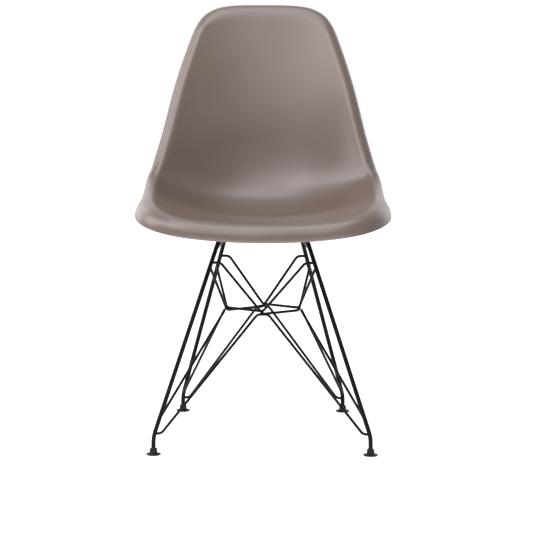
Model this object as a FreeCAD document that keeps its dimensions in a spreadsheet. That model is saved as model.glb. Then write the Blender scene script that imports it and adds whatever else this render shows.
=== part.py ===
import FreeCAD, Part
import math
import os

import Sketcher

# Moulded plastic shell chair.
#
# A one-piece plastic seat shell stands on a welded tower of steel rod and wire:
# four heavy legs, four upper and four lower braces that meet at a ring under the
# seat, two cross bars, two side rails and four mounting tabs. Bolts hold the shell
# through rubber pads. Each leg ends in a ball, and a plastic glide swivels on it.
#
# Lengths are millimetres. X runs across the chair, the sitter faces -Y, Z is up.
# The origin is on the floor under the middle of the whole chair.

# The driving sizes. A place is given from the middle of the tower, not the origin.
SIZES = [
    # Where the tower stands
    ("tower_setback", 37.0, "middle of the tower, in front of the origin"),
    # The shell
    ("shell_width", 464.0, "across the widest part of the seat"),
    ("shell_wall", 5.0, "thickness of the moulded plastic"),
    ("seat_reach", 238.0, "front edge of the seat, in front of the tower's middle"),
    ("seat_low_height", 408.0, "lowest place of the seat"),
    ("seat_dish", 16.0, "rise of the seat from its lowest place to its front edge"),
    ("back_rise", 396.0, "rise from the lowest place of the seat to the top of the back"),
    ("heel_reach", 172.0, "where the seat turns up into the back"),
    ("back_reach", 293.5, "top of the back, behind the tower's middle"),
    ("bowl_front", 21.0, "rise of the sides at the front edge"),
    ("bowl_seat", 41.5, "rise of the sides at the thighs"),
    ("bowl_hip", 74.0, "rise of the sides at the hips"),
    ("bowl_waist", 103.0, "rise of the sides at the waist"),
    ("bowl_shoulder", 94.5, "rise of the sides at the shoulders"),
    ("bowl_top", 43.0, "rise of the sides at the top"),
    ("rim_radius", 17.0, "rolled rim at the back and sides"),
    ("front_rim_radius", 30.0, "rolled rim at the front edge"),
    # The legs
    ("leg_diameter", 8.0, "heavy rod of the legs and cross bars"),
    ("leg_bend_radius", 50.0, "bend above each foot"),
    ("foot_straight", 8.0, "upright rod between the glide and the bend"),
    ("front_foot_x", 198.0, "half the spacing of the front feet"),
    ("front_foot_y", 198.0, "front feet, in front of the tower's middle"),
    ("rear_foot_x", 158.5, "half the spacing of the rear feet"),
    ("rear_foot_y", 198.0, "rear feet, behind the tower's middle"),
    ("front_top_x", 76.0, "half the spacing of the front legs at the top"),
    ("front_top_y", 78.5, "front legs at the top"),
    ("rear_top_x", 66.5, "half the spacing of the rear legs at the top"),
    ("rear_top_y", 73.5, "rear legs at the top"),
    ("front_top_drop", 11.0, "top of the front legs, below the lowest place of the seat"),
    ("rear_top_drop", 20.0, "top of the rear legs, below the lowest place of the seat"),
    ("front_top_height", "=seat_low_height - front_top_drop", "top of the front legs"),
    ("rear_top_height", "=seat_low_height - rear_top_drop", "top of the rear legs"),
    # The braces
    ("wire_diameter", 5.0, "thin wire of the braces and side rails"),
    ("wire_bend_radius", 12.0, "bends of the thin wire"),
    ("ring_x", 68.0, "side corners of the ring"),
    ("ring_y", 45.0, "front and back corners of the ring"),
    ("ring_forward", 5.0, "middle of the ring, in front of the tower's middle"),
    ("ring_drop", 169.0, "ring, below the lowest place of the seat"),
    ("ring_height", "=seat_low_height - ring_drop", "height of the ring"),
    ("upper_hook", 17.0, "level end of an upper brace, from the leg's middle"),
    ("lower_hook", 12.0, "level end of a lower brace, from the leg's middle"),
    ("lower_flat", 10.0, "half of a lower brace's level stretch at the ring"),
    ("upper_front_drop", 57.0, "front braces on the front legs, below the leg's top"),
    ("upper_back_drop", 62.0, "back braces on the rear legs, below the leg's top"),
    ("side_front_drop", 66.0, "side braces on the front legs, below the leg's top"),
    ("side_back_drop", 85.0, "side braces on the rear legs, below the leg's top"),
    ("lower_front_height", 39.0, "front lower brace on the front legs"),
    ("lower_back_height", 27.0, "back lower brace on the rear legs"),
    ("lower_side_front_height", 60.0, "side lower braces on the front legs"),
    ("lower_side_back_height", 41.0, "side lower braces on the rear legs"),
    ("rail_drop", 46.0, "side rails, below the lowest place of the seat"),
    ("rail_height", "=seat_low_height - rail_drop", "side rails between front and rear legs"),
    ("bar_drop", 0.5, "top of a cross bar, below the level top of the legs"),
    ("weld_play", 0.03, "room left at a weld, between a wire and what it is welded to"),
    # The mounting
    ("front_mount_x", 57.0, "half the spacing of the front bolts"),
    ("front_mount_y", 63.0, "front bolts"),
    ("rear_mount_x", 50.0, "half the spacing of the rear bolts"),
    ("rear_mount_y", 57.0, "rear bolts"),
    ("tab_width", 20.0, "width of a mounting tab"),
    ("tab_wall", 3.0, "thickness of a mounting tab"),
    ("pad_diameter", 20.0, "rubber pad"),
    ("pad_wall", 3.0, "thickness of a rubber pad"),
    ("boss_diameter", 20.0, "boss under the seat"),
    ("insert_diameter", 9.0, "threaded insert"),
    ("insert_depth", 9.0, "length of a threaded insert"),
    ("bolt_diameter", 6.0, "mounting bolt"),
    ("bolt_play", 0.3, "room round the bolt in the tab, pad and washers"),
    ("thread_play", 0.05, "room round the bolt in its insert"),
    ("bolt_head_across", 10.0, "across the flats of the bolt's head"),
    ("bolt_head_depth", 4.0, "height of the bolt's head"),
    ("washer_diameter", 12.0, "flat washer"),
    ("washer_wall", 1.2, "thickness of a flat washer"),
    ("lock_diameter", 10.5, "spring washer"),
    ("lock_wall", 1.5, "thickness of a spring washer"),
    ("lock_slot", 1.0, "slot in a spring washer"),
    # The glides
    ("glide_diameter", 27.0, "foot of a glide"),
    ("glide_rim", 2.2, "upright rim of a glide's foot"),
    ("glide_bevel", 0.8, "bevel under the rim of a glide's foot"),
    ("glide_slope", 1.2, "rise of the foot from its rim to its hub"),
    ("hub_diameter", 14.0, "hub of a glide"),
    ("hub_fillet", 1.5, "cove between a glide's foot and its hub"),
    ("dome_radius", 8.0, "rounded top of the hub, about the ball's middle"),
    ("ball_radius", 3.5, "ball at the end of a leg"),
    ("ball_height", 6.6, "middle of the ball"),
    ("ball_play", 0.08, "room round the ball in its socket"),
    ("neck_radius", 2.4, "neck above the ball"),
    ("socket_mouth", 3.1, "radius of the socket where it holds the ball in"),
    ("hub_mouth", 3.95, "radius of the opening in the hub's top"),
    ("tilt_play", 0.35, "room between the hub's top and the leg"),
]

# The side view: the seat in front of the tower's middle, as shares of its reach and
# of the dish, then the seat behind it, then the back, as shares of its lean and rise.
SEAT_LINE = [(1.0, 1.0), (0.67, 1.19), (0.25, 0.69)]
HEEL_LINE = [(0.23, 0.0), (0.69, 0.19)]
BACK_LINE = [(0.0, 0.077), (0.272, 0.233), (0.527, 0.485), (0.765, 0.738), (1.0, 1.0)]
# The seat is the front half of the sheet.
SEAT_SHARE = 0.5
# How the sides of the shell rise: the power of the bowl across the sheet.
BOWL_POWER = 2.4
# Shares of the sheet's length where the front's wide roll starts to narrow, and where
# it has come down to the roll of the sides.
WIDE_ROLL_END = 0.12
SIDE_ROLL_START = 0.41
# Half of the shell's outline on the unrolled sheet, from the front to the top:
# share of the sheet's length, share of half the width.
OUTLINE = [
    (0.0, 0.0),
    (0.0043, 0.41),
    (0.0178, 0.749),
    (0.0615, 0.924),
    (0.125, 1.002),
    (0.3, 1.0),
    (0.4745, 0.975),
    (0.57, 0.933),
    (0.665, 0.855),
    (0.76, 0.779),
    (0.91, 0.627),
    (0.961, 0.544),
    (0.987, 0.428),
    (0.997, 0.286),
    (1.0, 0.0),
]

document = FreeCAD.newDocument("shell_chair")
sheet = document.addObject("Spreadsheet::Sheet", "sizes")
for row, (name, value, meaning) in enumerate(SIZES, start=1):
    sheet.set("A%d" % row, name)
    sheet.set("B%d" % row, str(value))
    sheet.set("C%d" % row, meaning)
    sheet.setAlias("B%d" % row, name)
document.recompute()

nodes = []


def size(name):
    """One driving size, read from the sheet."""
    return float(sheet.get(name))


def keep(item, label, group=False):
    """Names a finished sub-part and keeps it for writing."""
    item.Label = label
    nodes.append((item, group))
    return item


def feature(label, shape, group=False):
    """A sub-part whose shape is made by calculation."""
    item = document.addObject("Part::Feature", label)
    item.Shape = shape
    item.Placement = FreeCAD.Placement(FreeCAD.Vector(0, 0, 0), FreeCAD.Rotation())
    return keep(item, label, group)


def origin_plane(body, role):
    for plane in body.Origin.OriginFeatures:
        if plane.Role == role:
            return plane
    raise ValueError(role)


def sketch_on(body, name, role):
    sketch = body.newObject("Sketcher::SketchObject", name)
    sketch.AttachmentSupport = [(origin_plane(body, role), "")]
    sketch.MapMode = "FlatFace"
    return sketch


def bind(item, expressions):
    for target, expression in expressions.items():
        item.setExpression(target, expression)


tower_y = -size("tower_setback")
# Rounds of correction, where one size is found from another step by step
ROUNDS = 30
# Most of a leg that its level cut may take, and most that a rod's volume may be off
TIP_SHARE = 0.1
VOLUME_SHARE = 0.001

# The legs
# Each leg is a rod in its own upright plane: a short upright foot, a bend, then
# the long slope to the tab. Below the foot it is turned to a neck and a ball.

LEGS = {
    "leg_front_left": ("front", -1, -1),
    "leg_front_right": ("front", 1, -1),
    "leg_rear_left": ("rear", -1, 1),
    "leg_rear_right": ("rear", 1, 1),
}

# The glide's mouth can tilt this far on the ball before it meets the neck.
glide_tilt = 8.0
mouth_angle = math.asin(size("hub_mouth") / size("dome_radius"))
foot_end = (size("ball_height") + size("tilt_play")
            + size("dome_radius") * math.cos(mouth_angle - math.radians(glide_tilt)))
sheet.set("B%d" % (len(SIZES) + 1), str(round(foot_end, 4)))
sheet.setAlias("B%d" % (len(SIZES) + 1), "foot_end")
document.recompute()


def leg_bend(row):
    """Where a leg's bend ends in its own plane, its angle, and where the rod ends."""
    run = math.hypot(size(row + "_foot_x") - size(row + "_top_x"),
                     size(row + "_foot_y") - size(row + "_top_y"))
    high = size(row + "_top_height")
    radius = size("leg_bend_radius")
    low = foot_end + size("foot_straight")
    run_end = run * (1 + size("leg_diameter") / (high - low))
    high_end = high + size("leg_diameter")
    angle = math.atan2(run_end, high_end - low)
    for _ in range(ROUNDS):
        end_x = radius * (1 - math.cos(angle))
        end_z = low + radius * math.sin(angle)
        angle = math.atan2(run_end - end_x, high_end - end_z)
    return end_x, end_z, angle, run_end, high_end


def leg(label, row, side, way):
    """A leg with its foot at (x, y) and its top nearer the middle."""
    foot = (size(row + "_foot_x"), size(row + "_foot_y"))
    top = (size(row + "_top_x"), size(row + "_top_y"))
    reach = math.hypot(foot[0] - top[0], foot[1] - top[1])
    diameter = size("leg_diameter")

    body = document.addObject("PartDesign::Body", label)

    section = sketch_on(body, label + "_section", "XY_Plane")
    section.addGeometry(Part.Circle(FreeCAD.Vector(0, 0, 0), FreeCAD.Vector(0, 0, 1),
                                    diameter / 2), False)
    section.addConstraint(Sketcher.Constraint("Coincident", 0, 3, -1, 1))
    section.addConstraint(Sketcher.Constraint("Diameter", 0, diameter))
    section.renameConstraint(1, "rod")
    bind(section, {"Constraints.rod": "sizes.leg_diameter",
                   "AttachmentOffset.Base.z": "sizes.foot_end"})

    # The path, drawn in the leg's own XZ plane
    path = sketch_on(body, label + "_path", "XZ_Plane")
    bend_low = foot_end + size("foot_straight")
    radius = size("leg_bend_radius")
    end_x, end_z, angle, run_end, high_end = leg_bend(row)
    centre = FreeCAD.Vector(radius, bend_low, 0)
    bend_end = FreeCAD.Vector(end_x, end_z, 0)
    # The rod runs on above the tab's underside and is cut level there.
    high = FreeCAD.Vector(run_end, high_end, 0)
    path.addGeometry([
        Part.LineSegment(FreeCAD.Vector(0, foot_end, 0), FreeCAD.Vector(0, bend_low, 0)),
        Part.ArcOfCircle(Part.Circle(centre, FreeCAD.Vector(0, 0, 1), radius),
                         math.pi - angle, math.pi),
        Part.LineSegment(bend_end, high),
    ], False)
    low, bend, slope = 0, 1, 2
    path.addConstraint([
        Sketcher.Constraint("Tangent", low, 2, bend, 2),
        Sketcher.Constraint("Tangent", bend, 1, slope, 1),
        Sketcher.Constraint("DistanceX", -1, 1, low, 1, 0.0),
        Sketcher.Constraint("Vertical", low),
        Sketcher.Constraint("DistanceY", -1, 1, low, 1, foot_end),
        Sketcher.Constraint("DistanceY", low, 1, low, 2, size("foot_straight")),
        Sketcher.Constraint("Radius", bend, radius),
        Sketcher.Constraint("DistanceX", -1, 1, slope, 2, run_end),
        Sketcher.Constraint("DistanceY", -1, 1, slope, 2, high_end),
    ])
    names = ["", "", "", "", "foot_end", "foot_straight", "bend", "reach", "rise"]
    for place, name in enumerate(names):
        if name:
            path.renameConstraint(place, name)
    run = "hypot(sizes.{0}_foot_x - sizes.{0}_top_x; sizes.{0}_foot_y - sizes.{0}_top_y)"
    rise = "sizes.{0}_top_height - sizes.foot_end - sizes.foot_straight"
    bind(path, {
        "Constraints.foot_end": "sizes.foot_end",
        "Constraints.foot_straight": "sizes.foot_straight",
        "Constraints.bend": "sizes.leg_bend_radius",
        # The axis meets the tab's underside at the named top point.
        "Constraints.reach": (run + " * (1 + sizes.leg_diameter / (" + rise + "))").format(row),
        "Constraints.rise": "sizes.{0}_top_height + sizes.leg_diameter".format(row),
    })
    document.recompute()

    rod = body.newObject("PartDesign::AdditivePipe", label + "_rod")
    rod.Profile = section
    rod.Spine = (path, ["Edge1", "Edge2", "Edge3"])
    document.recompute()

    level = sketch_on(body, label + "_level", "XY_Plane")
    level.addGeometry(Part.Circle(FreeCAD.Vector(reach, 0, 0), FreeCAD.Vector(0, 0, 1),
                                  diameter * 2), False)
    level.addConstraint(Sketcher.Constraint("PointOnObject", 0, 3, -1))
    level.addConstraint(Sketcher.Constraint("DistanceX", -1, 1, 0, 3, reach))
    level.addConstraint(Sketcher.Constraint("Radius", 0, diameter * 2))
    level.renameConstraint(1, "reach")
    level.renameConstraint(2, "room")
    bind(level, {"Constraints.reach": run.format(row),
                 "Constraints.room": "sizes.leg_diameter * 2",
                 "AttachmentOffset.Base.z": "sizes.%s_top_height" % row})
    before = rod.Shape.Volume
    cut = body.newObject("PartDesign::Pocket", label + "_level_cut")
    cut.Profile = level
    cut.Reversed = True
    bind(cut, {"Length": "sizes.leg_diameter * 3"})
    document.recompute()
    # The cut takes the rod's tip and no more.
    if not 0 < before - cut.Shape.Volume < before * TIP_SHARE:
        raise ValueError("the level cut of %s took %.1f" % (label, before - cut.Shape.Volume))

    neck = body.newObject("PartDesign::AdditiveCylinder", label + "_neck")
    neck.AttachmentSupport = [(origin_plane(body, "XY_Plane"), "")]
    neck.MapMode = "FlatFace"
    bind(neck, {"Radius": "sizes.neck_radius",
                "Height": "sizes.foot_end - sizes.ball_height",
                "AttachmentOffset.Base.z": "sizes.ball_height"})
    ball = body.newObject("PartDesign::AdditiveSphere", label + "_ball")
    ball.AttachmentSupport = [(origin_plane(body, "XY_Plane"), "")]
    ball.MapMode = "FlatFace"
    bind(ball, {"Radius": "sizes.ball_radius",
                "AttachmentOffset.Base.z": "sizes.ball_height"})
    body.Tip = ball
    turn = math.degrees(math.atan2(-way * (foot[1] - top[1]), -side * (foot[0] - top[0])))
    body.Placement = FreeCAD.Placement(
        FreeCAD.Vector(side * foot[0], way * foot[1] + tower_y, 0),
        FreeCAD.Rotation(FreeCAD.Vector(0, 0, 1), turn))
    document.recompute()
    return keep(body, label)


legs = {}
for label, (row, side, way) in LEGS.items():
    legs[label] = leg(label, row, side, way)


def leg_place(row, side, way, along, height):
    """A place in a leg's own upright plane, this far from the foot's axis."""
    foot = FreeCAD.Vector(size(row + "_foot_x"), size(row + "_foot_y"), 0)
    top = FreeCAD.Vector(size(row + "_top_x"), size(row + "_top_y"), 0)
    flat = foot + (top - foot).normalize() * along
    return FreeCAD.Vector(side * flat.x, way * flat.y + tower_y, height)


def leg_axis(row, side, way, height):
    """The middle of a leg at a height."""
    end_x, end_z, angle, run_end, high_end = leg_bend(row)
    radius = size("leg_bend_radius")
    low = foot_end + size("foot_straight")
    if height >= end_z:
        along = end_x + (height - end_z) * math.tan(angle)
    elif height > low:
        along = radius - math.sqrt(radius ** 2 - (height - low) ** 2)
    else:
        along = 0.0
    return leg_place(row, side, way, along, height)


def leg_cope(row, side, way):
    """A leg's rod grown by the weld's room, to cut the ends of the wires to it."""
    end_x, end_z, angle, run_end, high_end = leg_bend(row)
    corner = foot_end + size("foot_straight") + size("leg_bend_radius") * math.tan(angle / 2)
    points = [leg_place(row, side, way, 0.0, foot_end),
              leg_place(row, side, way, 0.0, corner),
              leg_place(row, side, way, run_end, high_end)]
    return bent_rod(points, size("leg_bend_radius"),
                    size("leg_diameter") + 2 * size("weld_play"))


# The rods and wires

def bent_rod(points, radius, diameter):
    """A round rod along straight runs joined by arcs; its volume is checked."""
    section = diameter / 2
    length = 0.0
    runs = []
    start = points[0]
    for before, corner, after in zip(points, points[1:], points[2:]):
        back = (before - corner).normalize()
        ahead = (after - corner).normalize()
        turn = math.pi - back.getAngle(ahead)
        reach = radius * math.tan(turn / 2)
        first = corner + back * reach
        run = first - start
        runs.append(Part.makeCylinder(section, run.Length, start, run))
        hub = corner + (back + ahead).normalize() * (radius / math.cos(turn / 2))
        circle = Part.Wire(Part.Circle(first, back, section).toShape())
        axis = back.cross(ahead)
        runs.append(Part.Face(circle).revolve(hub, -axis, math.degrees(turn)))
        length += run.Length + radius * turn
        start = corner + ahead * reach
    run = points[-1] - start
    runs.append(Part.makeCylinder(section, run.Length, start, run))
    length += run.Length
    solid = runs[0].fuse(runs[1:]) if len(runs) > 1 else runs[0]
    expected = math.pi * section ** 2 * length
    if abs(solid.Volume - expected) > expected * VOLUME_SHARE:
        raise ValueError("a rod's volume is %.0f, not %.0f" % (solid.Volume, expected))
    return solid.Solids[0]


def rod_axis(points, radius):
    """The middle line of a bent rod."""
    edges = []
    start = points[0]
    for before, corner, after in zip(points, points[1:], points[2:]):
        back = (before - corner).normalize()
        ahead = (after - corner).normalize()
        turn = math.pi - back.getAngle(ahead)
        first = corner + back * (radius * math.tan(turn / 2))
        last = corner + ahead * (radius * math.tan(turn / 2))
        hub = corner + (back + ahead).normalize() * (radius / math.cos(turn / 2))
        halfway = hub + (corner - hub).normalize() * radius
        edges.append(Part.makeLine(start, first))
        edges.append(Part.Arc(first, halfway, last).toShape())
        start = last
    edges.append(Part.makeLine(start, points[-1]))
    return Part.makeCompound(edges)


def fitted(solid, neighbours):
    """The solid with its ends and crossings coped to the pieces it is welded to."""
    result = solid
    for neighbour in neighbours:
        result = result.cut(neighbour)
    pieces = sorted(result.Solids, key=lambda piece: piece.Volume)
    return pieces[-1]


heavy = size("leg_diameter")
thin = size("wire_diameter")
copes = [leg_cope(*place) for place in LEGS.values()]

# Cross bars, just under the tabs
for row, way in (("front", -1), ("rear", 1)):
    height = size(row + "_top_height") - size("bar_drop") - heavy / 2
    ends = [leg_axis(row, side, way, height) for side in (-1, 1)]
    bar = bent_rod(ends, 0, heavy)
    feature("cross_bar_" + row, fitted(bar, copes))

# Side rails, between the front and rear legs
for name, side in (("left", -1), ("right", 1)):
    ends = [leg_axis(row, side, way, size("rail_height"))
            for row, way in (("front", -1), ("rear", 1))]
    rail = bent_rod(ends, 0, thin)
    feature("side_rail_" + name, fitted(rail, copes))

# Braces
# The ring has four corners. An upper brace starts at the side of a leg, bends at
# a side corner, crosses the ring, bends at the front or back corner and climbs
# to the leg across. The four upper braces cross in pairs at each corner.

ring_middle = tower_y - size("ring_forward")


def ring_corner(x_share, y_share, layer):
    """A corner of the ring; layer 1 or -1 lies over or under the crossing."""
    return FreeCAD.Vector(x_share * size("ring_x"),
                          ring_middle + y_share * size("ring_y"),
                          size("ring_height") + layer * thin / 2)


def hook(row, side, way, height, reach, along):
    """Two points: on the leg's middle and at the end of the level stretch."""
    on_leg = leg_axis(row, side, way, height)
    if along == "x":
        inward = FreeCAD.Vector(-side * reach, 0, 0)
    else:
        inward = FreeCAD.Vector(0, -way * reach, 0)
    return [on_leg, on_leg + inward]


ROWS = {-1: "front", 1: "rear"}
SIDES = {-1: "left", 1: "right"}
wire_radius = size("wire_bend_radius")
upper = []
upper_axes = []
# Side of the start, way of the start: the brace ends across, at the other row.
for layer, side, way in ((1, -1, 1), (1, 1, -1), (-1, -1, -1), (-1, 1, 1)):
    start_row, end_row = ROWS[way], ROWS[-way]
    start_drop = size({"front": "side_front_drop", "rear": "side_back_drop"}[start_row])
    end_drop = size({"front": "upper_front_drop", "rear": "upper_back_drop"}[end_row])
    start = hook(start_row, side, way, size(start_row + "_top_height") - start_drop,
                 size("upper_hook"), "y")
    end = hook(end_row, -side, -way, size(end_row + "_top_height") - end_drop,
               size("upper_hook"), "x")
    points = start + [ring_corner(side, 0, layer), ring_corner(0, -way, layer)] + end[::-1]
    solid = bent_rod(points, wire_radius, thin)
    label = "upper_brace_%s_%s" % (ROWS[way], SIDES[side])
    upper.append(feature(label, fitted(solid, copes + [item.Shape for item in upper])))
    upper_axes.append(rod_axis(points, wire_radius))

ring = Part.makeCompound(upper_axes)
flat = size("lower_flat")
lower_height = size("ring_height") - thin / 2


def lower_brace(label, first, last, corner, outward, level):
    """A wire from leg to leg whose level stretch lies against the ring's outside."""
    offset = thin
    for _ in range(ROUNDS):
        middle = corner + outward * offset
        points = first + [middle - level * flat, middle + level * flat] + last[::-1]
        gap = rod_axis(points, wire_radius).distToShape(ring)[0] - thin - size("weld_play")
        offset -= gap
    feature(label, fitted(bent_rod(points, wire_radius, thin), copes))


across = FreeCAD.Vector(1, 0, 0)
forward = FreeCAD.Vector(0, 1, 0)
# Front and back lower braces
for way in (-1, 1):
    row = ROWS[way]
    name = {"front": "front", "rear": "back"}[row]
    height = size("lower_%s_height" % name)
    left = hook(row, -1, way, height, size("lower_hook"), "x")
    right = hook(row, 1, way, height, size("lower_hook"), "x")
    corner = FreeCAD.Vector(0, ring_middle + way * size("ring_y"), lower_height)
    lower_brace("lower_brace_" + name, left, right, corner, forward * way, across)

# Left and right lower braces
for side in (-1, 1):
    front = hook("front", side, -1, size("lower_side_front_height"), size("lower_hook"), "y")
    rear = hook("rear", side, 1, size("lower_side_back_height"), size("lower_hook"), "y")
    corner = FreeCAD.Vector(side * size("ring_x"), ring_middle, lower_height)
    lower_brace("lower_brace_" + SIDES[side], front, rear, corner, across * side, forward)

# The seat shell
# The sheet is laid out flat, with its outline, then bent along the side view's line.
# Its sides are raised into a bowl, which turns over a ridge and down to the edge.


def through(points, parameters):
    """A smooth curve through points at given parameters."""
    curve = Part.BSplineCurve()
    curve.interpolate(Points=points, Parameters=parameters)
    return curve


def side_line():
    """The side view's line, from the seat's front edge to the top of the back."""
    low = size("seat_low_height")
    dish = size("seat_dish")
    heel = size("heel_reach")
    lean = size("back_reach") - heel
    points = [(-share * size("seat_reach"), low + dish * up) for share, up in SEAT_LINE]
    points += [(share * heel, low + dish * up) for share, up in HEEL_LINE]
    points += [(heel + share * lean, low + size("back_rise") * up) for share, up in BACK_LINE]
    points = [FreeCAD.Vector(0, y + tower_y, z) for y, z in points]
    lengths = [0.0]
    for first, last in zip(points, points[1:]):
        lengths.append(lengths[-1] + (last - first).Length)
    return through(points, lengths)


line = side_line()
sheet_length = line.length()
half_width = size("shell_width") / 2


def station_curve(stations):
    """A smooth value along the sheet, given at shares of its length."""
    points = [FreeCAD.Vector(share, value, 0) for share, value in stations]
    return through(points, [share for share, value in stations])


bowl = station_curve([
    (0.0, size("bowl_front")),
    (0.15, size("bowl_seat")),
    (0.375, size("bowl_hip")),
    (0.53, size("bowl_waist")),
    (0.72, size("bowl_shoulder")),
    (1.0, size("bowl_top")),
])


def rim_roll(along):
    """The radius of the rolled rim at a place along the sheet."""
    share = (SIDE_ROLL_START - along / sheet_length) / (SIDE_ROLL_START - WIDE_ROLL_END)
    share = min(1.0, max(0.0, share))
    blend = share * share * (3 - 2 * share)
    return size("rim_radius") + (size("front_rim_radius") - size("rim_radius")) * blend


def bowl_height(across, along):
    """How far the bowl rises from the side view's line at a place on the sheet."""
    share = min(1.0, max(0.0, along / sheet_length))
    return bowl.value(share).y * (abs(across) / half_width) ** BOWL_POWER


def bent(across, along, height):
    """A place on the sitter's side of the shell, at a height over the side view's line."""
    inside = min(sheet_length, max(0.0, along))
    parameter = line.parameterAtDistance(inside, line.FirstParameter)
    tangent = line.tangent(parameter)[0]
    normal = FreeCAD.Vector(0, -tangent.z, tangent.y)
    place = line.value(parameter) + normal * height
    return place + tangent * (along - inside) + FreeCAD.Vector(across, 0, 0)


def outline_curve():
    """The closed outline of the unrolled sheet, from the front's middle."""
    half = [FreeCAD.Vector(half_width * across, sheet_length * along, 0)
            for along, across in OUTLINE]
    other = [FreeCAD.Vector(-point.x, point.y, 0) for point in half[-2:0:-1]]
    curve = Part.BSplineCurve()
    curve.interpolate(Points=half + other, PeriodicFlag=True)
    return curve


outline = outline_curve()
# Stations round the outline, closer together at the four corners
ROUND = 56
# Shares of the rim's arc, from its edge, then shares of the way from its foot to the middle
RIM_STEPS = (0.0, 0.14, 0.30, 0.48, 0.66, 0.84, 1.0)
INNER_STEPS = (0.93, 0.82, 0.70, 0.57, 0.44, 0.32, 0.20, 0.09, 0.0)
# Step on the sheet over which its slope is taken
NUDGE = 0.01


def rim_start(edge, inward, radius):
    """Where the bowl is as steep as the rim's arc: its angle before the ridge, its place."""
    angle = 0.0
    for _ in range(ROUNDS):
        foot = edge + inward * (radius * (1 + math.sin(angle)))
        outer, inner = foot - inward * NUDGE, foot + inward * NUDGE
        rise = bowl_height(outer.x, outer.y) - bowl_height(inner.x, inner.y)
        angle = math.atan(rise / (2 * NUDGE))
    return angle, foot


def shell_rows():
    """Rows of places on the shell, from the rim's edge to the middle."""
    pole = FreeCAD.Vector(0, SEAT_SHARE * sheet_length, 0)
    first, last = outline.FirstParameter, outline.LastParameter
    rows = [[] for _ in RIM_STEPS + INNER_STEPS]
    for step in range(ROUND + 1):
        parameter = first + (last - first) * (step % ROUND) / ROUND
        edge = outline.value(parameter)
        tangent = outline.tangent(parameter)[0]
        inward = FreeCAD.Vector(-tangent.y, tangent.x, 0).normalize()
        if inward.dot(pole - edge) < 0:
            inward = -inward
        radius = rim_roll(edge.y)
        start, foot = rim_start(edge, inward, radius)
        low = bowl_height(foot.x, foot.y) - radius * math.cos(start)
        for row, share in enumerate(RIM_STEPS):
            # The arc's angle is nought on the ridge and a quarter turn at the edge.
            angle = math.pi / 2 - share * (math.pi / 2 + start)
            place = edge + inward * (radius * (1 - math.sin(angle)))
            rows[row].append(bent(place.x, place.y, low + radius * math.cos(angle)))
        for row, share in enumerate(INNER_STEPS):
            place = pole + (foot - pole) * share
            rows[len(RIM_STEPS) + row].append(
                bent(place.x, place.y, bowl_height(place.x, place.y)))
    return rows


def row_normal(rows, row, column):
    """The upward normal of the sitter's side at one place of the rows."""
    count = len(rows[0]) - 1
    if row == len(rows) - 1:
        parameter = line.parameterAtDistance(SEAT_SHARE * sheet_length, line.FirstParameter)
        tangent = line.tangent(parameter)[0]
        return FreeCAD.Vector(0, -tangent.z, tangent.y)
    before = rows[row][(column - 1) % count]
    after = rows[row][(column + 1) % count]
    outer = rows[max(row - 1, 0)][column]
    inner = rows[row + 1][column]
    return (after - before).cross(inner - outer).normalize()


def surface(rows):
    face = Part.BSplineSurface()
    face.interpolate(rows)
    return face.toShape()


def shell_solid():
    inside = shell_rows()
    wall = size("shell_wall")
    outside = []
    for row in range(len(inside)):
        outside.append([inside[row][column] - row_normal(inside, row, column) * wall
                        for column in range(len(inside[row]))])
    faces = [surface(inside), surface(outside)]
    edges = []
    for face in faces:
        rim = max(face.Edges, key=lambda edge: edge.Length)
        edges.append(rim)
    faces.append(Part.makeRuledSurface(edges[0], edges[1]))
    shell = Part.makeShell(faces)
    shell.sewShape()
    solid = Part.makeSolid(shell)
    if solid.Volume < 0:
        solid.reverse()
    return solid


def seat_height_at(x, y):
    """The sitter's side above a place in plan, found along the sheet."""
    low, high = 0.0, SEAT_SHARE * sheet_length
    for _ in range(ROUNDS):
        middle = (low + high) / 2
        if bent(x, middle, bowl_height(x, middle)).y < y:
            low = middle
        else:
            high = middle
    return bent(x, low, bowl_height(x, low)).z


MOUNTS = [(row, side, way) for row, way in (("front", -1), ("rear", 1)) for side in (-1, 1)]


def mount_point(row, side, way):
    """The middle of a mounting tab's underside."""
    return FreeCAD.Vector(side * size(row + "_mount_x"),
                          way * size(row + "_mount_y") + tower_y,
                          size(row + "_top_height"))


def disc(base, diameter, height, bore=0.0):
    up = FreeCAD.Vector(0, 0, 1)
    solid = Part.makeCylinder(diameter / 2, height, base, up)
    if bore:
        solid = solid.cut(Part.makeCylinder(bore / 2, height, base, up))
    return solid


shell_shape = shell_solid()
pad_lift = size("tab_wall") + size("pad_wall")
for place in MOUNTS:
    base = mount_point(*place) + FreeCAD.Vector(0, 0, pad_lift)
    top = seat_height_at(base.x, base.y) - size("shell_wall") / 2
    boss = disc(base, size("boss_diameter"), top - base.z)
    hole = disc(base, size("insert_diameter"), size("insert_depth"))
    shell_shape = shell_shape.fuse(boss)
    shell_shape = shell_shape.cut(hole)
feature("seat_shell", shell_shape)

# The mounting
# From the seat down: insert, pad, tab, flat washer, spring washer, bolt.

loose_bore = size("bolt_diameter") + 2 * size("bolt_play")
down = FreeCAD.Vector(0, 0, -1)


def spread(make):
    """One group of separate solids, made at each of the four bolts."""
    return Part.makeCompound([make(mount_point(*place)) for place in MOUNTS])


def insert_at(base):
    lift = FreeCAD.Vector(0, 0, pad_lift)
    bore = size("bolt_diameter") + 2 * size("thread_play")
    return disc(base + lift, size("insert_diameter"), size("insert_depth"), bore)


def washer_at(base):
    lift = down * size("washer_wall")
    return disc(base + lift, size("washer_diameter"), size("washer_wall"), loose_bore)


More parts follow.
